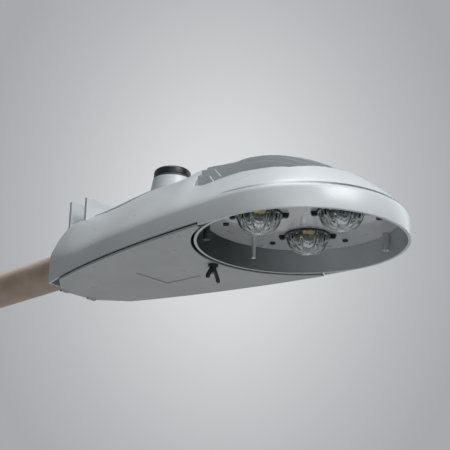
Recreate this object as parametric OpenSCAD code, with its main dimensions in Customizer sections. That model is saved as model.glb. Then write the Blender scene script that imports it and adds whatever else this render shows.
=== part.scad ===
// Cobra-head street light: a long die-cast housing clamped on the end of a steel arm, with a
// round optical chamber at the front, three glass dome lenses and a drop-down access door.
// Units are millimetres. The origin is the centre of the cut end of the arm, +X points along
// the light away from the arm, +Y to its left, +Z up.

/* [Housing] */
// Length of the housing from its rear edge to the front of the chamber
body_len = 623.5; // [580:0.5:660]
// Width of the rear edge
rear_w = 128.6; // [116:0.2:140]
// Outer radius of the round optical chamber
chamber_r = 153.5; // [148:0.5:158]
// Sideways growth of the sides at the rear edge, per millimetre of length
flare = 0.412; // [0.36:0.002:0.46]
// Thickness of the cast walls
wall = 3; // [2.5:0.1:3.5]
// Height of the shoulder where the upright skirt turns into the flank
skirt_h = 34; // [32:0.5:37]
// Height of the flat roof over the gear compartment
roof_h = 130; // [126:0.5:136]
// Height of the crown over the optical chamber
crown_h = 151; // [146:0.5:156]
// Height of the roof at the arm end
tail_h = 113; // [111:0.5:118]

/* [Heat sink] */
// Number of cooling fins on the crown
fin_n = 9; // [5:2:9]
// Distance between neighbouring fins
fin_gap = 20; // [16:0.5:20.5]
// Thickness of a fin
fin_t = 3; // [2:0.1:4]
// Half width of the open fin pocket
pocket_w = 91; // [88:0.5:94]
// Height of the floor of the fin pocket
pocket_floor = 50; // [49:0.5:56]

/* [Arm end] */
// Outside radius of the steel arm, a two inch nominal pipe
arm_r = 30.15; // [28:0.05:30.6]
// Wall thickness of the arm
arm_wall = 3.9; // [2.5:0.1:5]
// Length of arm that shows behind the housing
arm_out = 225; // [150:1:260]
// Length of arm inside the housing
arm_in = 104; // [96:1:108]
// Height of the arm axis above the bottom rim at the rear edge
arm_h = 50; // [48:0.5:52]
// Upward tilt of the arm in degrees
arm_tilt = 2.75; // [1:0.25:4]
// Thickness of the two upright cross plates on the tail
plate_t = 4.6; // [3.6:0.1:6]
// Height of the top edge of the cross plates
plate_top = 148; // [140:0.5:152]

/* [Door] */
// Thickness of the door panel
door_t = 3; // [2.5:0.1:3.2]
// Gap between the front edge of the door and the chamber ring
door_gap = 4; // [3.5:0.1:5]
// Length of the slanted cut at each rear door corner, along the light
door_cut = 52; // [44:1:56]
// Distance of the door's front tips behind the middle of the chamber
door_tip = 67; // [64:0.5:72]
// Side of the shallow square recess in the door
panel_w = 73; // [60:1:80]
// Radius of a hinge knuckle
knuckle_r = 4; // [3.6:0.1:4.2]
// Radius of a hinge pin
pin_r = 2; // [1.6:0.1:2.2]

/* [Latch] */
// Distance of the latch behind the chamber ring
latch_back = 12.5; // [12:0.1:13.5]
// Radius of the latch stud
stud_r = 3; // [2.6:0.1:3.2]
// Half span of the wing knob
wing_r = 18.5; // [16:0.5:20]
// Depth of the wing tips below the door
wing_drop = 25; // [20:0.5:27]
// Rest angle of the wings about the upright stud axis
wing_turn = 10; // [0:1:45]

/* [Optics] */
// Height of the visible face of the optical plate
plate_z = 34; // [33:0.1:34.5]
// Distance of the optical plate's edge inside the chamber's outer edge
plate_rim = 12.9; // [12.5:0.1:17.5]
// Distance of each lens from the middle of the lens triangle
lens_ring = 67; // [62:0.5:69]
// Radius of the glass dome of a lens
dome_r = 32; // [30:0.5:32.5]
// Depth of the glass dome below its flange
dome_h = 29; // [24:0.5:30]
// Turn of the lens ears in degrees
ear_turn = 33; // [20:1:45]
// Distance of an ear screw from the lens axis
ear_r = 37.8; // [37.4:0.1:38.5]

/* [Top cap] */
// Distance of the top cap from the rear edge
cap_x = 212; // [200:1:216]
// Radius of the top cap
cap_r = 30; // [28.5:0.5:33]
// Height of the black part of the cap
cap_h = 14.2; // [12:0.1:20]

/* [Hidden] */
// Small overlap that joins shapes and clears cut faces
eps = 0.1;
// Gap of a seated face
seat = 0.3;
// Radial gap of a running fit
run = 0.06;
// Radial gap of a fixed round fit
fix = 0.05;
// Points along the housing outline: half rear edge, one side, front quarter
n_rear = 3;
n_side = 27;
n_front = 18;
n_half = n_rear + n_side + n_front;
// Middle of the chamber
chamber_x = body_len - chamber_r;
// Foot points of the flank lines on the roof
tail_x = 45;
crown_x = chamber_x - 105;
// Bow of the rear edge
tail_bow = 1.5;
// Handle lengths of the side curve
side_a = 0.32 * chamber_x;
side_b = 0.18 * chamber_x;
// Shoulder height at the tail
tail_shoulder = skirt_h + 19;
// Roundness of the crown at its rear edge, beside the chamber and at the front, and of the fin tops
rear_round = 1.7;
side_round = 1.24;
front_round = 2.08;
fin_round = 1.5;
// Distance of the crown's rear edge from the chamber middle, and length of the step up to it
crown_edge = chamber_r + 24.5;
crown_step = 22;
// Softness of the shoulder edge
edge_drop = 6;
edge_len = 0.02;
// Fractions of the half width at which the housing profile is drawn, skirt to roof
outer_steps = [1, 0.99, 0.975, 0.95, 0.91, 0.85, 0.77, 0.68, 0.59, 0.5, 0.42, 0.35, 0.28, 0.2, 0.12, 0.04];
inner_steps = [1, 0.95, 0.85, 0.72, 0.58, 0.45, 0.33, 0.18, 0.04];

// Skirt bottom above the door and height of the gasket under it
rim_z = 4.5;
door_top = 1.5;
door_bottom = door_top - door_t;
// Chamber wall radius at the bottom and at the plate
plate_r = chamber_r - plate_rim;
bell_r0 = chamber_r - 4;
bell_r1 = plate_r + 1;
sink_z = plate_z + 8;
back_r = bell_r1 - 5.6;
chamber_back = chamber_x - chamber_r + 13.5;
pocket_r = chamber_r - 51;
pocket_back = chamber_r + 3;
pocket_wall = wall;
// Free space between the rear wall of the pocket and the fins
fin_back = 5;
// Raised roof panel over the gear compartment
panel_half = 38;
panel_from = 75;
panel_to = 285;
// Plate pillars and screws
pillar_ring = 110;
pillar_r = 5;
pillar_n = 6;
screw_r = 1.9;
screw_hole = 2;
plate_t2 = 2;
// Ribs on the chamber wall
rib_angles = [62, 213];
rib_r = 5;
rib_ring = bell_r1 - 4.5;
rib_bottom = 8;
// Lens parts
lens_x = chamber_x + 1.5;
lens_at = [for (a = [240, 120, 0]) [lens_x + lens_ring * cos(a), lens_ring * sin(a)]];
flange_t = 2;
flange_r = dome_r + 1.4;
ring_lip = 1;
ring_t = 1.2;
lens_hole = dome_r - 8;
holder_r = 22;
emitter_w = 24;
ear_pad = 5;
// Arm clamp positions along the arm
clamp_at = [26, 78];
clamp_w = 24;
clamp_t = 4;
bolt_y = arm_r + 12;
bolt_r = 3.9;
boss_r = 7;
seal_r = arm_r + 3;
// Cross plates on the tail
cross_x = [19, 56];
cross_w = 88;
// Door hinge
hinge_x = 5;
hinge_z = 0;
lug_y = [22, 34];
lug_w = 4;
// Latch
latch_x = chamber_x - chamber_r - latch_back;
latch_hole = stud_r + 2;
knob_z = door_bottom - 0.4;
knob_flange = latch_back - door_gap - 0.5;
tip_x = chamber_x - door_tip;
// Gear tray
tray_z = 60;
tray_t = 2;
tray_x0 = arm_in + 18;
tray_x1 = chamber_back - 38;
tray_w = 136;
post_x = [tray_x0 + 8, tray_x1 - 8];
post_y = 60;
driver_x0 = tray_x0 + 12;
driver_len = tray_x1 - tray_x0 - 30;
driver_w = 56;
driver_h = 34;
driver_y = -34;
// Cap and receptacle
cap_boss_z = roof_h + 25;
cap_top_t = 5;
socket_z = cap_boss_z + 4;
socket_r = cap_r - 0.5;
socket_body = 26;
blade_ring = 15;
// Leads
lead_r = 1.6;
lead_z = sink_z - 3;

knuckle_len = lug_y[1] - lug_y[0] - lug_w - 0.8;
pin_len = lug_y[1] + lug_w - lug_y[0];
lug_mid = (lug_y[0] + lug_y[1] + lug_w) / 2;
panel_x = 212;
standoff_at = [chamber_x - 104, 20];
lead_y = -40;
bush_r = 2.6;
bush_x = chamber_back - 10;
driver_end = driver_x0 + driver_len;
// Terminal block, surge module and the room for wires between them
block_l = 22;
block_w = 38;
block_h = 18;
block_back = 48;
block_x = tray_x1 - block_back - block_l;
block_y = 14;
wire_z = tray_z - 9;
wire_room = 32;
surge_x = tray_x0 + 18;
surge_y = block_y + 2;
surge_w = 34;
surge_h = 26;
surge_l = block_x - wire_room - surge_x;
loop_z = tray_z - surge_h - 4;

function mix(a, b, t) = a + (b - a) * t;
function block_wire(i) = block_y + 7 + 12 * i;
function clamp01(t) = min(1, max(0, t));
function ease(t) = let (c = clamp01(t)) c * c * (3 - 2 * c);
function curve(a, b, c, d, t) = a * pow(1 - t, 3) + 3 * b * t * pow(1 - t, 2) + 3 * c * t * t * (1 - t) + d * pow(t, 3);
// Half of the outline from the middle of the rear edge to the front, moved in by d
function side_x(t, d) = curve(d + tail_bow, side_a, chamber_x - side_b, chamber_x, t);
function side_y(t, d) = curve(rear_w / 2, rear_w / 2 + flare * side_a, chamber_r, chamber_r, t) - d;
function half_line(i, d) =
    i < n_rear ? [d + tail_bow * pow(i / n_rear, 2), (rear_w / 2 - d) * i / n_rear] :
    i < n_rear + n_side ? let (t = (i - n_rear) / n_side) [side_x(t, d), side_y(t, d)] :
    let (a = 90 - 90 * (i - n_rear - n_side) / n_front) [chamber_x + (chamber_r - d) * cos(a), (chamber_r - d) * sin(a)];
function mirror_y(p) = [p.x, -p.y];
function outline(d = 0) = concat([for (i = [0 : n_half]) half_line(i, d)], [for (i = [n_half - 1 : -1 : 1]) mirror_y(half_line(i, d))]);
// Shoulder height, roof height, flat share of the roof and roundness of the flank
function shoulder_z(x) = skirt_h + (tail_shoulder - skirt_h) * pow(clamp01(1 - x / 130), 2);
function roof_z(x) = mix(tail_h, roof_h, ease((x - 60) / 170));
function roof_flat(x) = mix(0.5, 0.3, ease(x / 160));
function roof_round(x) = mix(1.5, 1.3, ease(x / 120));
function crown_round(x) = x < chamber_x ? mix(rear_round, side_round, ease((x - chamber_x + 160) / 50)) :
    mix(side_round, front_round, pow(ease((x - chamber_x) / chamber_r), 2));
function crown_part(x, y) = ease((crown_edge - norm([chamber_x - x, y])) / crown_step + 0.5);
function rise(f, a, round) = f <= a ? 1 : 1 - pow((f - a) / (1 - a), round);
// Point of the shell on the line from outline point p to the roof
function foot_x(x) = min(crown_x, max(tail_x, x));
function shell_point(p, f, d) =
    let (fx = foot_x(p.x), x = mix(fx, p.x, f), sh = shoulder_z(p.x) - d / 3,
        roof = mix(sh, roof_z(fx) - d, rise(f, roof_flat(p.x), roof_round(p.x))),
        crown = mix(sh, crown_h - d, rise(f, 0, crown_round(p.x))))
    [x, p.y * f, mix(roof, crown, crown_part(x, p.y * f)) - edge_drop * exp(-(1 - f) / edge_len)];
// Height of the fin tops over a point in the fin pocket
function crown_reach(a) = (chamber_x - crown_x) * cos(a) + sqrt(pow(chamber_r, 2) - pow((chamber_x - crown_x) * sin(a), 2));
function fin_share(x, y, a) = x > crown_x ? norm([x - crown_x, y]) / crown_reach(a) : abs(y) / (chamber_r - 8);
function fin_bend(x, a) = x > crown_x ? mix(fin_round, front_round, pow(cos(a), 3)) :
    mix(rear_round + 0.08, fin_round, ease((x - crown_x + 35) / 45));
function fin_z(x, y) =
    let (a = atan2(abs(y), max(0, x - crown_x)))
    mix(skirt_h, crown_h, 1 - pow(fin_share(x, y, a), fin_bend(x, a))) - mix(1.5, 5, ease((x - crown_x) / 60));

// Moves the housing frame so that the cut end of the arm is the origin
module place() {
    translate([arm_out * cos(arm_tilt), 0, arm_out * sin(arm_tilt) - arm_h])
        children();
}

module along_arm(s = 0) {
    translate([0, 0, arm_h])
        rotate([0, 90 - arm_tilt, 0])
            translate([0, 0, s])
                children();
}

// Closed body through the rings of outline points, from a flat floor to a narrow roof strip
module loft(steps, d, floor_z) {
    ring = outline(d);
    n = len(ring);
    levels = len(steps);
    points = concat([for (p = ring) [p.x, p.y, floor_z]], [for (f = steps) for (p = ring) shell_point(p, f, d)]);
    sides = [for (k = [0 : levels - 1]) for (i = [0 : n - 1])
        let (a = k * n + i, b = k * n + (i + 1) % n) each [[a, b, b + n], [a, b + n, a + n]]];
    base = levels * n;
    roof = [for (i = [0 : n_half - 1])
        let (a = base + i, b = base + i + 1, c = base + n - i - 1, e = base + n - i)
        each (i == 0 ? [[a, b, c]] : i == n_half - 1 ? [[a, b, e]] : [[a, b, c], [a, c, e]])];
    polyhedron(points = points, faces = concat([[for (i = [0 : n - 1]) (n_half + n - i) % n]], sides, roof));
}

// Flat outlines
module pocket_shape(grow = 0) {
    translate([chamber_x, 0])
        intersection() {
            union() {
                circle(r = pocket_r + grow, $fn = 96);
                difference() {
                    circle(r = pocket_back + grow, $fn = 144);
                    translate([0, -chamber_r - 50])
                        square(2 * chamber_r + 100);
                }
            }
            translate([-chamber_r - 50, -pocket_w - grow])
                square([2 * chamber_r + 100, 2 * (pocket_w + grow)]);
        }
}

module door_shape(inset = 0) {
    difference() {
        polygon(outline(inset));
        translate([chamber_x, 0])
            circle(r = chamber_r + door_gap + inset, $fn = 180);
        translate([tip_x - inset, -chamber_r])
            square([2 * chamber_r, 2 * chamber_r]);
        for (s = [-1, 1])
            polygon([[-eps, s * (rear_w / 2 - 30 - inset / 2)], [door_cut + inset / 2, s * (rear_w / 2 + flare * door_cut)],
                [door_cut + inset / 2, s * 2 * chamber_r], [-eps, s * 2 * chamber_r]]);
    }
}

module spread(n, r, a0 = 0) {
    for (i = [0 : n - 1])
        rotate(a0 + i * 360 / n)
            translate([r, 0, 0])
                children();
}

module at_posts() {
    for (x = post_x, y = [-post_y, post_y])
        translate([x, y, 0])
            children();
}

module at_bolts() {
    for (s = clamp_at, y = [-bolt_y, bolt_y])
        along_arm(s)
            translate([0, y, 0])
                rotate([0, -90, 0])
                    children();
}

// Housing casting
module shell_cavity() {
    difference() {
        loft(inner_steps, wall, -1);
        translate([chamber_x, 0, -2])
            cylinder(r = chamber_r, h = pocket_floor + 2, $fn = 180);
        translate([0, 0, pocket_floor - 6])
            linear_extrude(200)
                pocket_shape(pocket_wall);
        at_posts()
            translate([0, 0, tray_z + tray_t])
                cylinder(r = 6, h = 150, $fn = 32);
        at_bolts()
            translate([0, 0, 2])
                cylinder(r = boss_r, h = 150, $fn = 32);
        for (s = clamp_at)
            along_arm(s)
                translate([-150, -bolt_y, -4])
                    cube([148, 2 * bolt_y, 8]);
        along_arm(arm_in + seat)
            translate([-150, -8, 0])
                cube([154 - arm_r, 16, 5]);
        translate([latch_x - 8, -8, 8])
            cube([latch_back + 14, 16, pocket_floor - 8]);
    }
}

module fins() {
    steps = 18;
    for (k = [0 : fin_n - 1]) {
        y = (k - (fin_n - 1) / 2) * fin_gap;
        start_x = chamber_x - sqrt(pow(pocket_back - fin_back, 2) - y * y);
        end_x = chamber_x + sqrt(pow(pocket_r + 2, 2) - y * y);
        line = [for (i = [0 : steps]) let (x = mix(start_x, end_x, i / steps)) [x, fin_z(x, y)]];
        translate([0, y + fin_t / 2, 0])
            rotate([90, 0, 0])
                linear_extrude(fin_t)
                    polygon(concat([[start_x, pocket_floor - 1], [end_x, pocket_floor - 1]], [for (i = [steps : -1 : 0]) line[i]]));
    }
}

module roof_panel() {
    steps = 14;
    top = [for (i = [0 : steps]) let (x = mix(panel_from, panel_to, i / steps)) [x, roof_z(x)]];
    translate([0, panel_half, 0])
        rotate([90, 0, 0])
            linear_extrude(2 * panel_half)
                polygon(concat([for (p = top) p + [0, 1]], [for (i = [steps : -1 : 0]) top[i] - [0, wall - eps]]));
}

module cross_plates() {
    for (x = cross_x)
        translate([x, -cross_w / 2, tail_h - 14])
            cube([plate_t, cross_w, plate_top - tail_h + 14]);
}

module hinge_lugs() {
    for (s = [-1, 1], y = lug_y)
        translate([hinge_x, s * (y + lug_w / 2) + lug_w / 2, hinge_z])
            rotate([90, 0, 0])
                linear_extrude(lug_w)
                    union() {
                        circle(r = knuckle_r, $fn = 32);
                        translate([-knuckle_r, 0])
                            square([2 * knuckle_r, rim_z + 6]);
                    }
}

module housing() {
    color("#c3cacd")
    place()
    difference() {
        union() {
            difference() {
                loft(outer_steps, 0, 0);
                shell_cavity();
                translate([0, 0, pocket_floor])
                    linear_extrude(200)
                        pocket_shape();
                translate([0, 0, -1])
                    linear_extrude(rim_z + 1)
                        difference() {
                            translate([-10, -chamber_r - 10])
                                square([tip_x + 12, 2 * chamber_r + 20]);
                            translate([chamber_x, 0])
                                circle(r = chamber_r + 0.01, $fn = 180);
                        }
                difference() {
                    union() {
                        translate([chamber_x, 0, -eps])
                            cylinder(r1 = bell_r0, r2 = bell_r1, h = plate_z + plate_t2 + eps, $fn = 180);
                        translate([chamber_x, 0, plate_z])
                            cylinder(r = back_r, h = sink_z - plate_z, $fn = 180);
                    }
                    translate([chamber_x, 0, plate_z + plate_t2])
                        spread(pillar_n, pillar_ring, 30)
                            cylinder(r = pillar_r, h = 20, $fn = 32);
                    for (a = rib_angles)
                        translate([chamber_x, 0, rib_bottom])
                            rotate(a)
                                translate([rib_ring, 0, 0])
                                    cylinder(r = rib_r, h = 40, $fn = 32);
                }
            }
            fins();
            cross_plates();
            roof_panel();
            hinge_lugs();
            translate([cap_x, 0, roof_h - 12])
                cylinder(r1 = cap_r + 7, r2 = cap_r + 1, h = cap_boss_z - roof_h + 12, $fn = 96);
        }
        along_arm(-20)
            cylinder(r = seal_r, h = 30, $fn = 96);
        along_arm(-20)
            cylinder(r = arm_r + fix, h = arm_in + 20 + seat, $fn = 96);
        translate([cap_x, 0, roof_h - 40])
            cylinder(r = socket_body + seat, h = 80, $fn = 96);
        translate([latch_x, 0, 0])
            cylinder(r = latch_hole, h = 36, $fn = 32);
        at_posts()
            translate([0, 0, tray_z - 5])
                cylinder(r = screw_hole, h = 22, $fn = 24);
        at_bolts()
            cylinder(r = bolt_r + fix, h = 26, $fn = 32);
        translate([chamber_x, 0, 0]) {
            spread(pillar_n, pillar_ring, 30)
                translate([0, 0, plate_z + plate_t2 - 1])
                    cylinder(r = screw_hole, h = 11, $fn = 24);
            for (a = rib_angles)
                rotate(a)
                    translate([rib_ring - 0.5, 0, rib_bottom - 1])
                        cylinder(r = 1.6, h = 13, $fn = 24);
        }
        at_lens_screws()
            translate([0, 0, sink_z - 1])
                cylinder(r = screw_hole, h = 7, $fn = 24);
        translate([hinge_x, -50, hinge_z])
            rotate([-90, 0, 0])
                cylinder(r = pin_r + fix, h = 100, $fn = 32);
        translate([chamber_back - 40, lead_y, lead_z])
            rotate([0, 90, 0])
                cylinder(r = bush_r + fix, h = 70, $fn = 32);
        translate([standoff_at.x, standoff_at.y, sink_z - 1])
            cylinder(r = 2, h = 6, $fn = 24);
    }
}

// Arm and its clamps
module arm_tube() {
    color("#9c8d81")
    place()
    along_arm(-arm_out)
    difference() {
        cylinder(r = arm_r, h = arm_out + arm_in, $fn = 96);
        translate([0, 0, -1])
            cylinder(r = arm_r - arm_wall, h = arm_out + arm_in + 2, $fn = 96);
    }
}

module arm_seal() {
    color("#202122")
    place()
    along_arm(0.4)
    difference() {
        cylinder(r = seal_r - fix, h = 8, $fn = 96);
        translate([0, 0, -1])
            cylinder(r = arm_r + fix, h = 10, $fn = 96);
    }
}

module clamp(s) {
    color("#a9adae")
    place()
    along_arm(s - clamp_w / 2)
    difference() {
        linear_extrude(clamp_w)
            difference() {
                union() {
                    circle(r = arm_r + fix + clamp_t, $fn = 96);
                    translate([2, -bolt_y - 8])
                        square([clamp_t, 2 * bolt_y + 16]);
                }
                circle(r = arm_r + fix, $fn = 96);
                translate([-60, -100])
                    square([62, 200]);
            }
        for (y = [-bolt_y, bolt_y])
            translate([0, y, clamp_w / 2])
                rotate([0, 90, 0])
                    cylinder(r = bolt_r + 0.4, h = 20, $fn = 32);
    }
}

module clamp_rear() {
    clamp(clamp_at[0]);
}

module clamp_front() {
    clamp(clamp_at[1]);
}

module clamp_bolts() {
    color("#8b8e90")
    place()
    at_bolts() {
        translate([0, 0, -6 - seat])
            cylinder(r = bolt_r, h = 30, $fn = 32);
        translate([0, 0, -6 - seat - 5.3])
            cylinder(r = 6.8, h = 5.3, $fn = 6);
    }
}

// Access door
module door() {
    color("#8f9599")
    place()
    difference() {
        union() {
            translate([0, 0, door_bottom])
                linear_extrude(door_t)
                    difference() {
                        door_shape(0.4);
                        for (s = [-1, 1], y = lug_y)
                            translate([-1, s * (y + lug_w / 2) - lug_w / 2 - 0.5])
                                square([hinge_x + knuckle_r + 1.6, lug_w + 1]);
                        translate([-1, -200])
                            square([hinge_x - 1.6, 400]);
                    }
            translate([0, 0, door_top - eps])
                linear_extrude(6)
                    difference() {
                        door_shape(9);
                        door_shape(11);
                        translate([-1, -200])
                            square([40, 400]);
                        translate([latch_x - 12, -12])
                            square([24, 24]);
                    }
            for (s = [-1, 1])
                translate([hinge_x, s * lug_mid + knuckle_len / 2, hinge_z])
                    rotate([90, 0, 0])
                        cylinder(r = knuckle_r, h = knuckle_len, $fn = 32);
            translate([latch_x, 0, door_bottom])
                cylinder(r = 7, h = door_t + 2, $fn = 48);
        }
        translate([panel_x - panel_w / 2, -panel_w / 2, door_bottom - 1])
            cube([panel_w, panel_w, 2]);
        for (s = [-1, 1])
            translate([hinge_x, s * lug_mid + pin_len / 2 + eps, hinge_z])
                rotate([90, 0, 0])
                    cylinder(r = pin_r + run, h = pin_len + 2 * eps, $fn = 32);
        translate([latch_x, 0, door_bottom - 1])
            cylinder(r = stud_r + run, h = 20, $fn = 32);
    }
}

module door_gasket() {
    color("#1b1c1d")
    place()
    translate([0, 0, door_top])
        linear_extrude(rim_z - door_top - 0.2)
            difference() {
                door_shape(1.6);
                door_shape(5.4);
                translate([-1, -200])
                    square([door_cut + 2, 400]);
                translate([latch_x - 9, -9])
                    square([30, 18]);
            }
}

module hinge_pins() {
    color("#7d8082")
    place()
    for (s = [-1, 1])
        translate([hinge_x, s * lug_mid + pin_len / 2, hinge_z])
            rotate([90, 0, 0])
                cylinder(r = pin_r, h = pin_len, $fn = 32);
}

// Quarter turn latch with a wing knob
module latch_knob() {
    color("#17181a")
    place()
    translate([latch_x, 0, knob_z])
        rotate(wing_turn) {
            difference() {
                union() {
                    translate([0, 0, -13])
                        cylinder(r1 = 4.6, r2 = 5.6, h = 13, $fn = 48);
                    translate([0, 0, -3])
                        cylinder(r = knob_flange, h = 3, $fn = 48);
                }
                translate([0, 0, -9])
                    cylinder(r = stud_r + fix, h = 10, $fn = 32);
            }
            for (s = [0, 180])
                rotate([90, 0, 90 + s])
                    translate([0, 0, -1.7])
                        linear_extrude(3.4)
                            polygon([[3.6, -3], [7, -5.5], [11.5, -11], [wing_r - 0.6, -wing_drop + 6], [wing_r, -wing_drop + 1.4],
                                [wing_r - 2.2, -wing_drop], [wing_r - 6, -wing_drop + 1.2], [wing_r - 8.4, -wing_drop + 6], [6, -12.8], [3.6, -12.8]]);
        }
}

module latch_stud() {
    color("#9a9da0")
    place()
    translate([latch_x, 0, knob_z - 8.8])
        cylinder(r = stud_r, h = 40, $fn = 32);
}

module latch_washer() {
    color("#9a9da0")
    place()
    translate([latch_x, 0, door_top + 2 + seat])
        difference() {
            cylinder(r = 6, h = 1, $fn = 32);
            translate([0, 0, -1])
                cylinder(r = stud_r + fix, h = 3, $fn = 32);
        }
}

// Optical plate
module at_lenses() {
    for (p = lens_at)
        translate([p.x, p.y, 0])
            children();
}

module at_ears() {
    for (a = [ear_turn, ear_turn + 180])
        rotate(a)
            translate([ear_r, 0, 0])
                children();
}

module at_lens_screws() {
    at_lenses()
        at_ears()
            children();
}

module optical_plate() {
    color("#d5d8d9")
    place()
    difference() {
        translate([chamber_x, 0, plate_z])
            cylinder(r = plate_r, h = plate_t2 - seat / 3, $fn = 180);
        translate([0, 0, plate_z - 1]) {
            at_lenses()
                cylinder(r = lens_hole, h = 5, $fn = 64);
            at_lens_screws()
                cylinder(r = screw_hole + 0.3, h = 5, $fn = 24);
            translate([standoff_at.x, standoff_at.y, 0])
                cylinder(r = 4, h = 5, $fn = 32);
            translate([chamber_x, 0, 0]) {
                spread(pillar_n, pillar_ring, 30)
                    cylinder(r = screw_hole + 0.3, h = 5, $fn = 24);
                for (a = rib_angles)
                    rotate(a)
                        translate([rib_ring, 0, 0])
                            cylinder(r = rib_r + 0.6, h = 5, $fn = 32);
            }
        }
    }
}

module plate_screws() {
    color("#35383a")
    place()
    translate([chamber_x, 0, plate_z])
        spread(pillar_n, pillar_ring, 30) {
            cylinder(r = screw_r, h = 8, $fn = 24);
            difference() {
                translate([0, 0, -2.3])
                    cylinder(r = 4.4, h = 2.3, $fn = 32);
                translate([0, 0, -2.4])
                    cylinder(r = 1.8, h = 1.6, $fn = 6);
            }
        }
}

module standoff() {
    color("#9fa6a8")
    place()
    translate([standoff_at.x, standoff_at.y, 2])
        difference() {
            union() {
                cylinder(r = 3.7, h = sink_z - 2, $fn = 6);
                translate([0, 0, sink_z - 2 - eps])
                    cylinder(r = 1.95, h = 4, $fn = 24);
            }
            translate([0, 0, -1])
                cylinder(r = 1.8, h = 13, $fn = 24);
        }
}

// One light source: emitter board, its holder, the lens and the lens ring
module emitter(p) {
    place()
    translate([p.x, p.y, 0]) {
        color("#e8e6df")
        translate([-emitter_w / 2, -emitter_w / 2, sink_z - 1.6])
            cube([emitter_w, emitter_w, 1.6]);
        color("#e0c04a")
        translate([0, 0, sink_z - 2.2])
            cylinder(r = 9, h = 0.7, $fn = 48);
    }
}

module holder(p) {
    color("#e9eaea")
    place()
    translate([p.x, p.y, plate_z + plate_t2])
        difference() {
            cylinder(r = holder_r, h = sink_z - plate_z - plate_t2, $fn = 64);
            translate([0, 0, -1])
                cylinder(r1 = 15, r2 = 10.4, h = 6, $fn = 64);
            translate([-emitter_w / 2 - 0.2, -emitter_w / 2 - 0.2, sink_z - plate_z - plate_t2 - 2])
                cube([emitter_w + 0.4, emitter_w + 0.4, 3]);
        }
}

module lens(p) {
    color("#dfe8ea")
    place()
    translate([p.x, p.y, plate_z - flange_t])
        rotate_extrude($fn = 96)
            polygon(concat(
                [[0, -dome_h]],
                [for (i = [1 : 16]) [dome_r * sin(i * 90 / 16), -dome_h * cos(i * 90 / 16)]],
                [[flange_r, 0], [flange_r, flange_t], [18, flange_t]],
                [for (i = [0 : 12]) [18 * cos(i * 90 / 12), flange_t - 1 - 15 * sin(i * 90 / 12)]]));
}

module lens_ring(p) {
    color("#1d1f20")
    place()
    translate([p.x, p.y, plate_z - flange_t - ring_lip])
        difference() {
            linear_extrude(flange_t + ring_lip - seat / 3)
                difference() {
                    union() {
                        circle(r = flange_r + ring_t, $fn = 96);
                        at_ears()
                            circle(r = ear_pad, $fn = 32);
                    }
                    circle(r = dome_r + 0.4, $fn = 96);
                    at_ears()
                        circle(r = screw_hole + 0.3, $fn = 24);
                }
            translate([0, 0, ring_lip - eps])
                cylinder(r = flange_r + 0.3, h = 20, $fn = 96);
        }
}

module emitter_near() {
    emitter(lens_at[0]);
}

module emitter_far() {
    emitter(lens_at[1]);
}

module emitter_front() {
    emitter(lens_at[2]);
}

module holder_near() {
    holder(lens_at[0]);
}

module holder_far() {
    holder(lens_at[1]);
}

module holder_front() {
    holder(lens_at[2]);
}

module lens_near() {
    lens(lens_at[0]);
}

module lens_far() {
    lens(lens_at[1]);
}

module lens_front() {
    lens(lens_at[2]);
}

module lens_ring_near() {
    lens_ring(lens_at[0]);
}

module lens_ring_far() {
    lens_ring(lens_at[1]);
}

module lens_ring_front() {
    lens_ring(lens_at[2]);
}

module lens_screws() {
    color("#2a2c2e")
    place()
    at_lens_screws()
        translate([0, 0, plate_z - flange_t - ring_lip]) {
            cylinder(r = screw_r, h = sink_z - plate_z + flange_t + ring_lip + 5, $fn = 24);
            translate([0, 0, -2.8])
                cylinder(r = 3.8, h = 2.8, $fn = 32);
        }
}

// Gear compartment
module gear_tray() {
    color("#b4b8ba")
    place()
    difference() {
        translate([tray_x0, -tray_w / 2, tray_z])
            cube([tray_x1 - tray_x0, tray_w, tray_t]);
        at_posts()
            translate([0, 0, tray_z - 1])
                cylinder(r = screw_hole + 0.3, h = 5, $fn = 24);
        at_driver_feet()
            translate([0, 0, tray_z - 1])
                cylinder(r = 1.6, h = 5, $fn = 24);
    }
}

module tray_screws() {
    color("#8b8e90")
    place()
    at_posts() {
        translate([0, 0, tray_z])
            cylinder(r = screw_r, h = 12, $fn = 24);
        translate([0, 0, tray_z - 2.4])
            cylinder(r = 4, h = 2.4, $fn = 32);
    }
}

module at_driver_feet() {
    for (x = [driver_x0 - 5, driver_x0 + driver_len + 5])
        translate([x, driver_y, 0])
            children();
}

module driver() {
    color("#e4e5e2")
    place()
    difference() {
        union() {
            translate([driver_x0, driver_y - driver_w / 2, tray_z - driver_h])
                cube([driver_len, driver_w, driver_h]);
            translate([driver_x0 - 10, driver_y - 9, tray_z - 2])
                cube([driver_len + 20, 18, 2]);
        }
        at_driver_feet()
            translate([0, 0, tray_z - 5])
                cylinder(r = 1.9, h = 8, $fn = 24);
    }
}

module driver_feet_screws() {
    color("#8b8e90")
    place()
    at_driver_feet() {
        translate([0, 0, tray_z - 2])
            cylinder(r = 1.55, h = 6, $fn = 24);
        translate([0, 0, tray_z - 4.2])
            cylinder(r = 3.2, h = 2.2, $fn = 32);
    }
}

module surge_module() {
    color("#2c3f63")
    place()
    translate([surge_x, surge_y, tray_z - surge_h])
        cube([surge_l, surge_w, surge_h]);
}

module terminal_block() {
    color("#ecebe4")
    place()
    difference() {
        translate([block_x, block_y, tray_z - block_h])
            cube([block_l, block_w, block_h]);
        for (i = [0 : 2]) {
            translate([block_x + block_l / 2, block_wire(i), tray_z - block_h - 1])
                cylinder(r = 2.6, h = 7, $fn = 24);
            translate([block_x - 1, block_wire(i), wire_z])
                rotate([0, 90, 0])
                    cylinder(r = 2.2, h = block_l + 2, $fn = 24);
        }
    }
}

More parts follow.
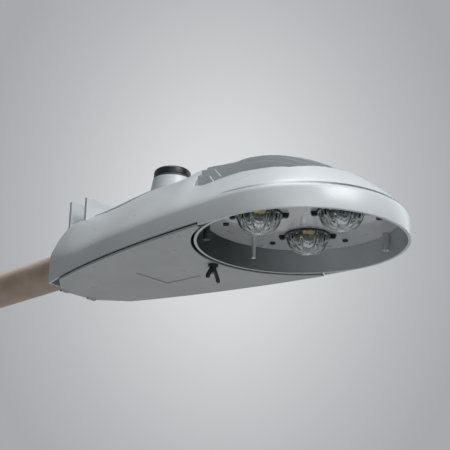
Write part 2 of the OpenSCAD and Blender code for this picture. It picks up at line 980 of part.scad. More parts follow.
// Twist-lock socket on the roof and its cap
module receptacle() {
    color("#b9bdbf")
    place()
    translate([cap_x, 0, 0])
        difference() {
            union() {
                translate([0, 0, cap_boss_z + 1.5])
                    cylinder(r = socket_r, h = socket_z - cap_boss_z - 1.5, $fn = 96);
                translate([0, 0, roof_h - 26])
                    cylinder(r = socket_body, h = cap_boss_z - roof_h + 28, $fn = 96);
            }
            for (a = [0, 120, 240])
                rotate(a)
                    translate([0, 0, socket_z - 16])
                        rotate_extrude(angle = 30, $fn = 96)
                            translate([blade_ring - 1.5, 0])
                                square([3, 20]);
        }
}

module receptacle_gasket() {
    color("#222425")
    place()
    translate([cap_x, 0, cap_boss_z])
        difference() {
            cylinder(r = socket_r, h = 1.4, $fn = 96);
            translate([0, 0, -1])
                cylinder(r = socket_body + seat, h = 4, $fn = 96);
        }
}

module receptacle_contacts() {
    color("#c2a25c")
    place()
    translate([cap_x, 0, roof_h - 26 - 8])
        for (a = [12, 132, 252])
            rotate(a)
                translate([blade_ring - 1, -3, 0])
                    cube([1.2, 6, 7.9]);
}

module top_cap() {
    color("#1c1d1f")
    place()
    translate([cap_x, 0, socket_z + seat])
        rotate_extrude($fn = 96)
            polygon([[0, 2.6], [0, cap_h], [cap_r - 9, cap_h - 0.4], [cap_r - 3.5, cap_h - 1.8], [cap_r - 0.8, cap_h - 4.4],
                [cap_r - 0.3, cap_h - 6.5], [cap_r, 0], [cap_r - 2.6, 0], [cap_r - 2.8, cap_h - cap_top_t],
                [8, cap_h - cap_top_t], [8, 2.6]]);
}

module cap_blades() {
    color("#c2a25c")
    place()
    translate([cap_x, 0, socket_z - 13])
        for (a = [0, 120, 240])
            rotate(a + 3)
                rotate_extrude(angle = 10, $fn = 96)
                    translate([blade_ring - 0.7, 0])
                        square([1.4, 13 + seat + cap_h - cap_top_t]);
}

// Leads, drawn as straight runs with round bends
module run_of(points, r) {
    for (i = [0 : len(points) - 2]) {
        v = points[i + 1] - points[i];
        translate(points[i])
            rotate([0, acos(v.z / norm(v)), atan2(v.y, v.x)])
                cylinder(r = r, h = norm(v), $fn = 20);
    }
    for (i = [1 : len(points) - 2])
        translate(points[i])
            sphere(r = r + 0.12, $fn = 20);
}

module supply_leads() {
    color("#20242a")
    place()
    for (i = [0 : 2])
        run_of([[arm_in - 34, 6 * (i - 1), arm_h + 1], [arm_in + 16, 12 * (i - 0.4), loop_z],
            [block_x - wire_room + 6, block_wire(i), loop_z], [block_x - 6, block_wire(i), wire_z],
            [block_x + 4, block_wire(i), wire_z]], lead_r);
}

module driver_leads() {
    color("#8a3b34")
    place()
    for (i = [0 : 1])
        run_of([[block_x + block_l - 4, block_wire(i), wire_z], [driver_end + 10 + 5 * i, block_wire(i), wire_z],
            [driver_end + 10 + 5 * i, -16 - 8 * i, wire_z - 9], [driver_end, -16 - 8 * i, wire_z - 9]], lead_r);
}

module light_leads() {
    color("#c9c9c4")
    place() {
        run_of([[driver_end, lead_y, tray_z - 17], [driver_end + 14, lead_y, tray_z - 17], [chamber_back - 30, lead_y, lead_z],
            [chamber_back + 50, lead_y, lead_z], [lens_at[0].x - 38, lens_at[0].y, lead_z],
            [lens_at[0].x - holder_r - 0.1, lens_at[0].y, lead_z]], lead_r);
        run_of([[lens_at[0].x, lens_at[0].y + holder_r + 0.1, lead_z], [lens_at[1].x, lens_at[1].y - holder_r - 0.1, lead_z]], lead_r);
        run_of([for (t = [0.193, 0.807]) let (p = mix(lens_at[1], lens_at[2], t)) [p.x, p.y, lead_z]], lead_r);
    }
}

module lead_bush() {
    color("#1f2021")
    place()
    translate([bush_x, lead_y, lead_z])
        rotate([0, 90, 0])
            difference() {
                cylinder(r = bush_r, h = 14, $fn = 32);
                translate([0, 0, -1])
                    cylinder(r = lead_r + fix, h = 20, $fn = 24);
            }
}

housing();
door();
door_gasket();
hinge_pins();
latch_knob();
latch_stud();
latch_washer();
optical_plate();
plate_screws();
emitter_near();
emitter_far();
emitter_front();
holder_near();
holder_far();
holder_front();
lens_near();
lens_far();
lens_front();
lens_ring_near();
lens_ring_far();
lens_ring_front();
lens_screws();
standoff();
arm_tube();
arm_seal();
clamp_rear();
clamp_front();
clamp_bolts();
gear_tray();
tray_screws();
driver();
driver_feet_screws();
surge_module();
terminal_block();
receptacle();
receptacle_gasket();
receptacle_contacts();
top_cap();
cap_blades();
supply_leads();
driver_leads();
light_leads();
lead_bush();
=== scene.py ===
# %% [markdown]
# # A street light, seen from below
# This lesson dresses the construction model of a cobra-head street light: a die-cast
# housing clamped on a steel arm, with three clear dome lenses in a round chamber.
# The solids come in as a fixed frame, so every piece already has its real size and place.
# What is left for Blender is how things look: paint, glass, sheet metal, rubber and light.

# %% Load the frame
import bpy, bmesh, math
from mathutils import Matrix, Vector


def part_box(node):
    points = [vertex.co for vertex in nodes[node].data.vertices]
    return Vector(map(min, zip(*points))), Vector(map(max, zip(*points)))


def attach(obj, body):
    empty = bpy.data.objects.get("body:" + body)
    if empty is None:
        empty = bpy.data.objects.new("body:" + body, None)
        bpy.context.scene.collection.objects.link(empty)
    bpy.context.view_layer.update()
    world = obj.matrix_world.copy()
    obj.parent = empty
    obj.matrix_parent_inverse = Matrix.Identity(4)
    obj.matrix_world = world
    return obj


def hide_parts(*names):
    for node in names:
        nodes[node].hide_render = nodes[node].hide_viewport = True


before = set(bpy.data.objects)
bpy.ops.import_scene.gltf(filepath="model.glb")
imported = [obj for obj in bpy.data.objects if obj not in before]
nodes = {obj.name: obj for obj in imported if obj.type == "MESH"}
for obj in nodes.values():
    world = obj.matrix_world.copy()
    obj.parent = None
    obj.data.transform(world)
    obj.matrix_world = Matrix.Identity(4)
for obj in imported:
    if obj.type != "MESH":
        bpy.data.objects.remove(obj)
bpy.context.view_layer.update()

# %% [markdown]
# ## The camera
# The photograph is taken from under the light, a good metre and a half away, with a long
# lens. The place, the turn and the focal length were fitted to edges that can be measured
# in the picture, such as the round rim, the cap and the door. Yaw, pitch and roll are kept
# as plain angles, because they say what the photographer did.

# %% Set the camera
MM = 0.001
yaw, pitch, roll = (math.radians(a) for a in (40.5528, 18.8866, 1.2513))
ahead = Vector((-math.sin(yaw) * math.cos(pitch), math.cos(yaw) * math.cos(pitch), math.sin(pitch)))
level = Vector((math.cos(yaw), math.sin(yaw), 0))
upward = level.cross(ahead)
right = math.cos(roll) * level + math.sin(roll) * upward
above = math.cos(roll) * upward - math.sin(roll) * level
eye = Vector((1.58465, -1.20855, -0.52623))
turn = Matrix((right, above, -ahead)).transposed()

camera = bpy.data.objects.new("camera", bpy.data.cameras.new("camera"))
bpy.context.scene.collection.objects.link(camera)
camera.matrix_world = Matrix.Translation(eye) @ turn.to_4x4()
camera.data.sensor_width, camera.data.lens = 36, 88.578
camera.data.clip_start, camera.data.clip_end = 0.05, 100
bpy.context.scene.camera = camera
print("camera looks along", [round(v, 3) for v in ahead])

# %% [markdown]
# ## Helpers for materials
# Colours are picked from the photograph as sRGB hex values, but a shader works in linear
# light, so one function turns them. A second one adds any node, sets its properties and
# fills its sockets. Everything is drawn by patterns in object space, whose scale comes from
# a real size in millimetres.

# %% Colour and node helpers
def linear(hex_colour):
    """sRGB hex to linear RGBA."""
    parts = [int(hex_colour[i:i + 2], 16) / 255 for i in (1, 3, 5)]
    return [c / 12.92 if c <= 0.04045 else ((c + 0.055) / 1.055) ** 2.4 for c in parts] + [1.0]


def add(tree, kind, sockets=None, **settings):
    """Adds a node. A socket's value is another socket to link, or a plain value to set."""
    made = tree.nodes.new(kind)
    for key, value in settings.items():
        setattr(made, key, value)
    for key, value in (sockets or {}).items():
        if isinstance(value, bpy.types.NodeSocket):
            tree.links.new(value, made.inputs[key])
        else:
            made.inputs[key].default_value = value
    return made


def start(name, colour, **sockets):
    """A material with one Principled shader, its constants on the shader itself."""
    made = bpy.data.materials.new(name)
    made.use_nodes = True
    tree = made.node_tree
    tree.nodes.clear()
    shader = add(tree, "ShaderNodeBsdfPrincipled", {"Base Color": linear(colour)})
    for key, value in sockets.items():
        shader.inputs[key.replace("_", " ")].default_value = value
    place = add(tree, "ShaderNodeTexCoord").outputs["Object"]
    add(tree, "ShaderNodeOutputMaterial", {"Surface": shader.outputs["BSDF"]})
    return made, tree, shader, place


def per_metre(size_mm):
    """Noise scale for features of that size."""
    return 1000 / size_mm


def mottle(tree, shader, place, colours, size_mm, detail=3, low=0.3, high=0.7):
    """The colour drifts between shades in patches of that size."""
    noise = add(tree, "ShaderNodeTexNoise", {"Vector": place, "Scale": per_metre(size_mm), "Detail": detail})
    ramp = add(tree, "ShaderNodeValToRGB", {"Fac": noise.outputs["Fac"]})
    stops = ramp.color_ramp.elements
    while len(stops) < len(colours):
        stops.new(0.5)
    for i, colour in enumerate(colours):
        stops[i].position = low + (high - low) * i / (len(colours) - 1)
        stops[i].color = linear(colour)
    tree.links.new(ramp.outputs["Color"], shader.inputs["Base Color"])
    return ramp


def uneven_gloss(tree, shader, place, size_mm, least, most):
    """Roughness drifts between two values in patches of that size."""
    noise = add(tree, "ShaderNodeTexNoise", {"Vector": place, "Scale": per_metre(size_mm), "Detail": 4})
    spread = add(tree, "ShaderNodeMapRange", {"Value": noise.outputs["Fac"], "From Min": 0.3, "From Max": 0.7,
                                              "To Min": least, "To Max": most})
    tree.links.new(spread.outputs["Result"], shader.inputs["Roughness"])


def relief(tree, shader, place, size_mm, depth_mm, edge_mm=0, detail=2):
    """Fine bumps of that size and depth, on edges rounded to a small radius."""
    noise = add(tree, "ShaderNodeTexNoise", {"Vector": place, "Scale": per_metre(size_mm), "Detail": detail})
    bump = add(tree, "ShaderNodeBump",
               {"Height": noise.outputs["Fac"], "Distance": depth_mm * MM, "Strength": 1.0})
    if edge_mm:
        edge = add(tree, "ShaderNodeBevel", {"Radius": edge_mm * MM}, samples=6)
        tree.links.new(edge.outputs["Normal"], bump.inputs["Normal"])
    tree.links.new(bump.outputs["Normal"], shader.inputs["Normal"])

# %% [markdown]
# ## Painted shade on the chamber wall
# In the photograph the wall round the lenses is much darker than the outside, with a
# greenish cast, most of all at its rear and again at the tip, where it lies in shade.
# Whether that is dirt, shadow or another finish can't be told from one picture. Lamps
# alone did not give that shade here, so it is painted into the colour of the wall, whose
# place and strength were matched to the picture.

# %% Painted shade inside the optical chamber
low, high = (Vector(corner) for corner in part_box("optical_plate"))
chamber_middle = (low + high) / 2
WALL_R = (high.x - low.x) / 2 + 9 * MM
SHADE_TOP = 4 * MM
REAR_HEADING = (-0.93, -0.37, 0)
TIP_HEADING = (0.94, -0.34, 0)
SHADE_PATCH_MM = 30


def chamber_painted_shade(tree, shader, place):
    """Paints shade: darkens the paint below the optical plate, by the heading seen from the chamber's middle.
    """
    unshaded = shader.inputs["Base Color"].links[0].from_socket
    away = add(tree, "ShaderNodeVectorMath", {0: place, 1: chamber_middle}, operation="SUBTRACT")
    level_part = add(tree, "ShaderNodeVectorMath", {0: away.outputs[0], 1: (1, 1, 0)}, operation="MULTIPLY")
    length = add(tree, "ShaderNodeVectorMath", {0: level_part.outputs[0]}, operation="LENGTH")
    within = add(tree, "ShaderNodeMath", {0: length.outputs["Value"], 1: WALL_R}, operation="LESS_THAN")
    height = add(tree, "ShaderNodeSeparateXYZ", {0: away.outputs[0]}).outputs["Z"]
    under = add(tree, "ShaderNodeMath", {0: height, 1: SHADE_TOP}, operation="LESS_THAN")
    inside = add(tree, "ShaderNodeMath", {0: within.outputs[0], 1: under.outputs[0]}, operation="MULTIPLY")
    heading = add(tree, "ShaderNodeVectorMath", {0: level_part.outputs[0]}, operation="NORMALIZE")
    rearward = add(tree, "ShaderNodeVectorMath", {0: heading.outputs[0], 1: REAR_HEADING},
                   operation="DOT_PRODUCT")
    noise = add(tree, "ShaderNodeTexNoise",
                {"Vector": place, "Scale": per_metre(SHADE_PATCH_MM), "Detail": 3})
    rear_shade = add(tree, "ShaderNodeMapRange",
                {"Value": rearward.outputs["Value"], "From Min": -0.1, "From Max": 0.95,
                 "To Min": 0.25, "To Max": 0.97})
    patchy = add(tree, "ShaderNodeMapRange", {"Value": noise.outputs["Fac"], "To Min": -0.08, "To Max": 0.08})
    forward = add(tree, "ShaderNodeVectorMath", {0: heading.outputs[0], 1: TIP_HEADING},
                  operation="DOT_PRODUCT")
    at_tip = add(tree, "ShaderNodeMapRange",
                 {"Value": forward.outputs["Value"], "From Min": 0.55, "From Max": 0.92,
                  "To Min": 0, "To Max": 0.8})
    deeper_shade = add(tree, "ShaderNodeMath", {0: rear_shade.outputs[0], 1: at_tip.outputs[0]}, operation="MAXIMUM")
    amount = add(tree, "ShaderNodeMath", {0: deeper_shade.outputs[0], 1: patchy.outputs[0]}, operation="ADD")
    share = add(tree, "ShaderNodeMath", {0: amount.outputs[0], 1: inside.outputs[0]},
                operation="MULTIPLY", use_clamp=True)
    # The dark greenish colour of the painted shade.
    shaded = add(tree, "ShaderNodeMix", {"Factor": share.outputs[0], 6: unshaded, 7: linear("#2A3230")},
                data_type="RGBA")
    tree.links.new(shaded.outputs[2], shader.inputs["Base Color"])

# %% [markdown]
# ## Powder-coated die-cast aluminium
# The housing and its door are cast aluminium with a grey polyester powder coat. Powder
# melts into a skin with faint orange peel about a millimetre and a half across, softer
# corners than the bare casting, and a satin gloss. A thin film of dust makes broad, weak
# changes of shade, drawn with a large noise.

# %% Paint for the castings
def powder_coat(name, shades, dust_mm=120, peel_mm=1.6, edge_mm=1.6, with_painted_shade=False):
    made, tree, shader, place = start(name, shades[0], IOR=1.5)
    mottle(tree, shader, place, shades, dust_mm)
    # The housing gets painted shade inside its optical chamber.
    if with_painted_shade:
        chamber_painted_shade(tree, shader, place)
    uneven_gloss(tree, shader, place, 35, 0.27, 0.35)
    relief(tree, shader, place, peel_mm, 0.012, edge_mm)
    return made


housing_paint = powder_coat("grey_powder_coat_on_casting", ["#BCC2C5", "#C3C9CC", "#C7CDD0"], with_painted_shade=True)
# The door has the housing's coat, painted darker as shade on its downward face.
door_paint_darkened = powder_coat("grey_powder_coat_darkened_for_shade_on_door", ["#9A9D9E", "#A0A3A4", "#A5A8A9"],
                         dust_mm=90, edge_mm=1.2)
print("paints:", housing_paint.name, door_paint_darkened.name)

# %% [markdown]
# ## Metals
# Sheet aluminium is rolled, so its grain runs one way and its mirror image is hazy.
# Screws and the latch stud are zinc plated steel, bright but slightly yellowish.
# The arm is a steel pipe with a bronze coating, warm and satin, with a painted highlight that makes it paler
# on top.
# The optical plate is sheet with a grey-white enamel under a glossy skin.

# %% Metal finishes
def sheet_metal(name, colour, shades, least, most, grain=(1, 14, 1)):
    made, tree, shader, place = start(name, colour, Metallic=1.0)
    mottle(tree, shader, place, shades, 60)
    stretch = add(tree, "ShaderNodeMapping", {"Vector": place, "Scale": grain})
    uneven_gloss(tree, shader, stretch.outputs["Vector"], 20, least, most)
    relief(tree, shader, stretch.outputs["Vector"], 9, 0.01, 0.4)
    return made


def turned_metal(name, shades, least, most, size_mm=4):
    made, tree, shader, place = start(name, shades[0], Metallic=1.0)
    mottle(tree, shader, place, shades, size_mm)
    uneven_gloss(tree, shader, place, size_mm * 2, least, most)
    relief(tree, shader, place, 1.2, 0.01, 0.35)
    return made


spacer_metal = sheet_metal("bright_turned_aluminium", "#DDE0E0", ["#D2D6D6", "#E2E5E5"], 0.3, 0.42)
tray_metal = sheet_metal("galvanised_steel_sheet", "#AEB2B4", ["#9FA4A6", "#B8BCBD"], 0.32, 0.5)
zinc = turned_metal("zinc_plated_steel", ["#B5B3AA", "#C8C6BE"], 0.28, 0.42)
stainless = turned_metal("stainless_steel", ["#A9ACAE", "#BCBFC0"], 0.22, 0.34)
brass = turned_metal("tinned_brass", ["#BDB48F", "#CFC7A6"], 0.25, 0.4)
dark_screw = turned_metal("blackened_screw_steel", ["#2C2D2E", "#3A3B3C"], 0.35, 0.5)
clamp_metal = turned_metal("cast_aluminium_clamp", ["#9DA1A3", "#B0B4B6"], 0.4, 0.55, 9)


def plate_enamel():
    """Grey-white enamel on sheet, whose clear skin mirrors the lens domes."""
    made, tree, shader, place = start("white_enamel_on_optical_plate", "#AAAAAD", IOR=1.5, Coat_Weight=1.0,
                                      Coat_Roughness=0.1, Coat_IOR=2.1)
    mottle(tree, shader, place, ["#A2A2A6", "#B0B0B4"], 70)
    uneven_gloss(tree, shader, place, 25, 0.25, 0.4)
    relief(tree, shader, place, 3, 0.004, 0.4)
    return made


plate_paint = plate_enamel()


def pipe_coat():
    """Bronze coat on steel pipe, paler where the surface faces up as a painted highlight."""
    made, tree, shader, place = start("bronze_coat_on_steel_pipe", "#B5A497", IOR=1.5)
    bare = mottle(tree, shader, place, ["#94806F", "#9F8C7D", "#A89687"], 45)
    facing = add(tree, "ShaderNodeNewGeometry").outputs["Normal"]
    up = add(tree, "ShaderNodeSeparateXYZ", {0: facing}).outputs["Z"]
    lit_from_above = add(tree, "ShaderNodeMapRange", {"Value": up, "From Min": 0.15, "From Max": 0.75},
                  interpolation_type="SMOOTHSTEP")
    # Mixes in a pale colour where the pipe faces up, as a painted highlight.
    with_top_highlight = add(tree, "ShaderNodeMix",
                {"Factor": lit_from_above.outputs[0], 6: bare.outputs["Color"], 7: linear("#DCCCBE")},
                data_type="RGBA")
    tree.links.new(with_top_highlight.outputs[2], shader.inputs["Base Color"])
    uneven_gloss(tree, shader, place, 25, 0.3, 0.42)
    relief(tree, shader, place, 2.2, 0.012, 0.6)
    return made


arm_coat = pipe_coat()

# %% [markdown]
# ## Plastics, rubber and ceramics
# Moulded parts are slightly uneven in gloss where the mould was polished or sparked, and
# their edges are a few tenths of a millimetre round. Rubber is duller and darker.

# %% Moulded finishes
def moulded(name, shades, least, most, grain_mm=0.9, depth_mm=0.01, edge_mm=0.5, patch_mm=18, ior=1.5):
    made, tree, shader, place = start(name, shades[0], IOR=ior)
    mottle(tree, shader, place, shades, patch_mm)
    uneven_gloss(tree, shader, place, patch_mm, least, most)
    relief(tree, shader, place, grain_mm, depth_mm, edge_mm)
    return made


cap_plastic = moulded("black_polypropylene_cap", ["#0E1012", "#131619"], 0.3, 0.4, edge_mm=1.6, ior=1.38)
knob_nylon = moulded("black_nylon_knob", ["#101112", "#18191A"], 0.35, 0.5, edge_mm=0.9)
ring_nylon = moulded("black_glass_filled_nylon", ["#0F1011", "#191A1B"], 0.3, 0.42)
rubber = moulded("black_silicone_rubber", ["#141415", "#1D1D1E"], 0.55, 0.7, 1.5, 0.02)
holder_plastic = moulded("black_nylon_holder", ["#131415", "#1C1D1E"], 0.35, 0.5)
driver_case = moulded("driver_case_enamel", ["#D3D5D4", "#DEE0DF"], 0.35, 0.5, 1.2, 0.012, 0.8)
surge_case = moulded("surge_module_polycarbonate", ["#2B3A55", "#33435F"], 0.3, 0.45)
block_plastic = moulded("cream_polyamide", ["#D8D2BE", "#E2DCC9"], 0.4, 0.55)
socket_plastic = moulded("grey_receptacle_plastic", ["#3A3D40", "#45494C"], 0.35, 0.5)
lead_pvc = moulded("black_pvc_lead", ["#1B1B1C", "#252526"], 0.35, 0.5)
lead_white = moulded("white_pvc_lead", ["#C9C8C2", "#D8D7D1"], 0.35, 0.5)
lead_red = moulded("red_pvc_lead", ["#8E2A22", "#A4332A"], 0.35, 0.5)

# %% [markdown]
# ## Lens glass and emitters
# A pressed lens is clear and very smooth, with slow waves where the glass cooled unevenly.
# Behind it lies a white ceramic board with a round patch of phosphor, which is dull yellow
# while the light is off.

# %% Clear lens glass
WAVE_MM = 14
WAVE_DEPTH = 0.25 * MM


def clear_glass():
    made, tree, shader, place = start("clear_pressed_glass", "#F4F8F7", IOR=1.5, Transmission_Weight=1.0)
    uneven_gloss(tree, shader, place, 12, 0.01, 0.04)
    noise = add(tree, "ShaderNodeTexNoise", {"Vector": place, "Scale": per_metre(WAVE_MM), "Detail": 1})
    bump = add(tree, "ShaderNodeBump",
               {"Height": noise.outputs["Fac"], "Distance": WAVE_DEPTH, "Strength": 1.0})
    tree.links.new(bump.outputs["Normal"], shader.inputs["Normal"])
    return made


lens_glass = clear_glass()

# %% Emitter boards
PHOSPHOR_R = 9 * MM


def emitter_face(name, middle_of_board):
    """White ceramic with a round patch of dull yellow phosphor in the middle."""
    made, tree, shader, place = start(name, "#E6E5DF", IOR=1.55)
    flat = add(tree, "ShaderNodeVectorMath", {0: place, 1: (1, 1, 0)}, operation="MULTIPLY")
    centre = (middle_of_board.x, middle_of_board.y, 0)
    near = add(tree, "ShaderNodeVectorMath", {0: flat.outputs[0], 1: centre}, operation="DISTANCE")
    inside = add(tree, "ShaderNodeMath", {0: near.outputs["Value"], 1: PHOSPHOR_R}, operation="LESS_THAN")
    noise = add(tree, "ShaderNodeTexNoise", {"Vector": place, "Scale": per_metre(3), "Detail": 3})
    phosphor = add(tree, "ShaderNodeMix",
                   {"Factor": noise.outputs["Fac"], 6: linear("#B89A4C"), 7: linear("#C4A85E")},
                   data_type="RGBA")
    ceramic = add(tree, "ShaderNodeMix",
                  {"Factor": noise.outputs["Fac"], 6: linear("#DCDBD5"), 7: linear("#ECEBE6")},
                  data_type="RGBA")
    face = add(tree, "ShaderNodeMix",
               {"Factor": inside.outputs[0], 6: ceramic.outputs[2], 7: phosphor.outputs[2]},
               data_type="RGBA")
    tree.links.new(face.outputs[2], shader.inputs["Base Color"])
    uneven_gloss(tree, shader, place, 6, 0.3, 0.45)
    return made

# %% [markdown]
# ## Dressing the CAD nodes
# The frame's meshes are cut from exact solids, so curved faces arrive as small flat
# ones. A geometry-nodes modifier welds them and shades every edge smooth that bends less
# than 32 degrees, without touching the mesh itself. Then each node gets its finish.

# %% Smooth shading as a modifier
SMOOTH_BELOW = 32
WELD = 2e-6


def smooth_by_angle(limit_degrees):
    group = bpy.data.node_groups.new(f"smooth_below_{limit_degrees}", "GeometryNodeTree")
    group.interface.new_socket("Geometry", in_out="INPUT", socket_type="NodeSocketGeometry")
    group.interface.new_socket("Geometry", in_out="OUTPUT", socket_type="NodeSocketGeometry")
    come = add(group, "NodeGroupInput")
    weld = add(group, "GeometryNodeMergeByDistance", {"Geometry": come.outputs[0], "Distance": WELD})
    faces = add(group, "GeometryNodeSetShadeSmooth",
                {"Geometry": weld.outputs[0], "Shade Smooth": True}, domain="FACE")
    angle = add(group, "GeometryNodeInputMeshEdgeAngle")
    soft = add(group, "FunctionNodeCompare",
               {0: angle.outputs["Unsigned Angle"], 1: math.radians(limit_degrees)},
               data_type="FLOAT", operation="LESS_THAN")
    edges = add(group, "GeometryNodeSetShadeSmooth",
                {"Geometry": faces.outputs[0], "Shade Smooth": soft.outputs[0]}, domain="EDGE")
    add(group, "NodeGroupOutput", {0: edges.outputs[0]})
    return group


smooth_group = smooth_by_angle(SMOOTH_BELOW)


def dress(node_name, material):
    piece = nodes[node_name]
    piece.data.materials.clear()
    piece.data.materials.append(material)
    piece.modifiers.new("smooth", "NODES").node_group = smooth_group


finish_of = {
    "housing": housing_paint, "door": door_paint_darkened, "door_gasket": rubber, "hinge_pins": stainless,
    "latch_knob": knob_nylon, "latch_stud": zinc, "latch_washer": zinc,
    "optical_plate": plate_paint, "plate_screws": dark_screw, "lens_screws": dark_screw,
    "standoff": spacer_metal,
    "arm_tube": arm_coat, "arm_seal": rubber, "clamp_rear": clamp_metal, "clamp_front": clamp_metal,
    "clamp_bolts": zinc, "gear_tray": tray_metal, "tray_screws": zinc, "driver": driver_case,
    "driver_feet_screws": zinc, "surge_module": surge_case, "terminal_block": block_plastic,
    "receptacle": socket_plastic, "receptacle_gasket": rubber, "receptacle_contacts": brass,
    "top_cap": cap_plastic, "cap_blades": brass, "supply_leads": lead_pvc, "driver_leads": lead_red,
    "light_leads": lead_white, "lead_bush": rubber,
}
for side in ("near", "far", "front"):
    low, high = (Vector(corner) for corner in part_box("emitter_" + side))
    finish_of["emitter_" + side] = emitter_face("ceramic_board_with_phosphor_" + side, (low + high) / 2)
    finish_of["holder_" + side] = holder_plastic
    finish_of["lens_" + side] = lens_glass
    finish_of["lens_ring_" + side] = ring_nylon
for name in nodes:
    dress(name, finish_of[name])
print("finishes:", len(set(finish_of.values())), "on", len(finish_of), "nodes")

# %% [markdown]
# ## Fluted lenses
# Each lens is one thick clear moulding. Outside it is a plain dome, inside a cup with
# upright flutes, which draw whatever lies behind them into bright and dark lines. The
# construction model has a smooth cup, so a spun form with the same outside stands for it.

# %% Lens mouldings
FLUTES = 11
FLUTE_DEPTH = 2.6 * MM
LENS_WALL = 4 * MM
LENS_LIP = 1.4 * MM
FLANGE_T = 2 * MM
STEPS = 32
SPOKES = FLUTES * 12


def spun(name, foot, rings, tip, middle_of_form, material):
    """Closed form from a foot height through rings of (radius at each spoke, height) to a tip height."""
    turns = [2 * math.pi * k / SPOKES for k in range(SPOKES)]
    points = [(0, 0, foot)]
    for radii, height in rings:
        points += [(r * math.cos(a), r * math.sin(a), height) for r, a in zip(radii, turns)]
    points.append((0, 0, tip))
    last = len(points) - 1
    faces = []
    for k in range(SPOKES):
        after = (k + 1) % SPOKES
        faces.append((0, 1 + after, 1 + k))
        for level in range(len(rings) - 1):
            a, b = 1 + level * SPOKES + k, 1 + level * SPOKES + after
            faces.append((a, b, b + SPOKES, a + SPOKES))
        faces.append((last - SPOKES + k, last - SPOKES + after, last))
    mesh = bpy.data.meshes.new(name)
    mesh.from_pydata(points, [], faces)
    mesh.materials.append(material)
    made = bpy.data.objects.new(name, mesh)
    made.location = middle_of_form
    made.modifiers.new("smooth", "NODES").node_group = smooth_group
    bpy.context.scene.collection.objects.link(made)
    return made


def lens_moulding(side):
    low, high = (Vector(corner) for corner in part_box("lens_" + side))
    edge_r = (high.x - low.x) / 2
    dome_r, dome_h = edge_r - LENS_LIP, high.z - low.z - FLANGE_T
    cup_r, cup_h = dome_r - LENS_WALL, dome_h - LENS_WALL
    round_ring = lambda r: [r] * SPOKES
    scallop = [(1 - math.cos(2 * FLUTES * math.pi * k / SPOKES)) / 2 for k in range(SPOKES)]
    rises = [math.pi / 2 * i / STEPS for i in range(1, STEPS + 1)]
    outside = [(round_ring(dome_r * math.sin(t)), -dome_h * math.cos(t)) for t in rises]
    flange = [(round_ring(edge_r), 0), (round_ring(edge_r), FLANGE_T), (round_ring(cup_r + MM), FLANGE_T)]
    inside = [([cup_r * math.sin(t) - FLUTE_DEPTH * math.sin(t) * s for s in scallop], -cup_h * math.cos(t))
              for t in reversed(rises)]
    centre = Vector(((low.x + high.x) / 2, (low.y + high.y) / 2, high.z - FLANGE_T))
    made = spun("lens_moulding_" + side, -dome_h, outside + flange + inside, -cup_h, centre, lens_glass)
    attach(made, "light")
    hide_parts("lens_" + side)
    return made


lenses = [lens_moulding(side) for side in ("near", "far", "front")]
print("lens mouldings:", [(lens.name, len(lens.data.polygons)) for lens in lenses])

# %% [markdown]
# ## Floor, backdrop and light
# The photograph has a grey studio backdrop, brightest behind the light and darker towards
# the edges. It is drawn in the world, for camera, glossy and transmitted rays only,
# as an oval fade round one fixed direction. A plain pale floor lies far below. It looks pale
# to the same rays by a faint glow of its own, because little of the lamps' light reaches it.

# %% Rays that show the studio
def seen_rays(tree):
    """One for camera, glossy and transmitted rays, nought for the rays that only carry light."""
    path = add(tree, "ShaderNodeLightPath")
    first = add(tree, "ShaderNodeMath", {0: path.outputs["Is Camera Ray"], 1: path.outputs["Is Glossy Ray"]},
                operation="MAXIMUM")
    both = add(tree, "ShaderNodeMath", {0: first.outputs[0], 1: path.outputs["Is Transmission Ray"]},
               operation="MAXIMUM")
    return both.outputs[0]

# %% Backdrop
world = bpy.data.worlds.new("studio")
bpy.context.scene.world = world
world.use_nodes = True
sky = world.node_tree
sky.nodes.clear()
heading = add(sky, "ShaderNodeTexCoord").outputs["Generated"]
OVAL = (0.222, 0.296, 1000)
AMBIENT = 0.04
fade = add(sky, "ShaderNodeMapping", {"Vector": heading, "Rotation": turn.to_euler(), "Scale": OVAL},
           vector_type="TEXTURE")
oval = add(sky, "ShaderNodeTexGradient", {"Vector": fade.outputs["Vector"]}, gradient_type="SPHERICAL")
shade = add(sky, "ShaderNodeValToRGB", {"Fac": oval.outputs["Fac"]})
greys = [(0.0, "#A7A9AC"), (0.25, "#B5B7BA"), (0.5, "#C6C8CA"), (0.72, "#D5D7D8"), (1.0, "#DDDFE0")]
stops = shade.color_ramp.elements
while len(stops) < len(greys):
    stops.new(0.5)
for stop, (position, grey) in zip(stops, greys):
    stop.position, stop.color = position, linear(grey)
seen = add(sky, "ShaderNodeBackground", {"Color": shade.outputs["Color"], "Strength": 1.0})
ambient = add(sky, "ShaderNodeBackground", {"Color": linear("#D8DADC"), "Strength": AMBIENT})
both = add(sky, "ShaderNodeMixShader", {0: seen_rays(sky), 1: ambient.outputs[0], 2: seen.outputs[0]})
add(sky, "ShaderNodeOutputWorld", {"Surface": both.outputs[0]})

# %% Floor
FLOOR_GLOW = 0.6
FLOOR_HALF = 12
FLOOR_Z = -2.4


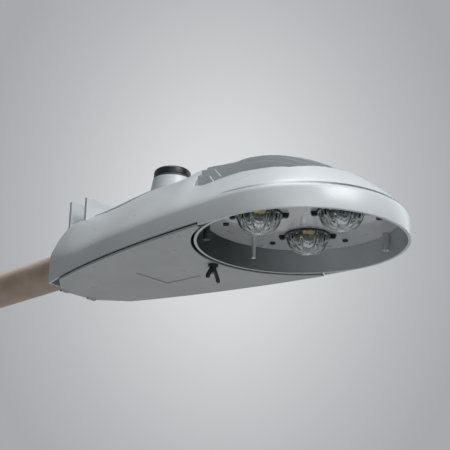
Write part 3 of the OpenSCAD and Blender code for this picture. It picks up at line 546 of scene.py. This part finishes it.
def floor_material():
    made, tree, shader, place = start("plain_studio_floor", "#C9CBCD", Roughness=0.9)
    shade = mottle(tree, shader, place, ["#C6C8CA", "#CCCED0"], 900)
    pale = add(tree, "ShaderNodeMath", {0: seen_rays(tree), 1: FLOOR_GLOW}, operation="MULTIPLY")
    tree.links.new(shade.outputs["Color"], shader.inputs["Emission Color"])
    tree.links.new(pale.outputs[0], shader.inputs["Emission Strength"])
    return made


floor_mesh = bpy.data.meshes.new("floor")
form = bmesh.new()
bmesh.ops.create_grid(form, x_segments=8, y_segments=8, size=FLOOR_HALF)
form.to_mesh(floor_mesh)
form.free()
floor = bpy.data.objects.new("floor", floor_mesh)
floor.location.z = FLOOR_Z
floor_mesh.materials.append(floor_material())
bpy.context.scene.collection.objects.link(floor)

# %% [markdown]
# ## Lamps
# Five soft boxes stand round the light. Each one was rendered alone, and their strengths
# were fitted so that the sum came near the brightness of points in the photograph. Some
# Some were then turned down or moved a little.

# %% Lamps
lit_middle = Vector((0.55, 0.0, 0.02))
SOFTBOX = (1.6, 1.3)
KEY_BOX = (1.4, 1.1)
LAMP_AWAY = 2.6
BOUNCE_AWAY = 2.3


def softbox(name, towards, distance, size, watts):
    """A soft box in that direction from the light, turned to face it."""
    lamp = bpy.data.lights.new(name, "AREA")
    lamp.shape, lamp.size, lamp.size_y, lamp.energy = "RECTANGLE", size[0], size[1], watts
    made = bpy.data.objects.new(name, lamp)
    bpy.context.scene.collection.objects.link(made)
    made.location = lit_middle + Vector(towards).normalized() * distance
    made.rotation_euler = (lit_middle - made.location).to_track_quat("-Z", "Y").to_euler()
    return made


lamps = [
    softbox("key_softbox", (0.85, -0.1, 0.75), LAMP_AWAY, KEY_BOX, 50),
    softbox("top_softbox", (0.0, 0.0, 1.0), LAMP_AWAY, SOFTBOX, 30),
    softbox("near_softbox", (0.8, -0.9, 0.3), LAMP_AWAY, SOFTBOX, 19),
    softbox("floor_bounce", (0.2, -0.2, -1.0), BOUNCE_AWAY, SOFTBOX, 16),
    softbox("far_softbox", (0.2, 1.0, 0.4), LAMP_AWAY, SOFTBOX, 7),
]
print("lamps:", [lamp.name for lamp in lamps])

# %% Colour management and the end
bpy.context.scene.view_settings.view_transform = "Standard"
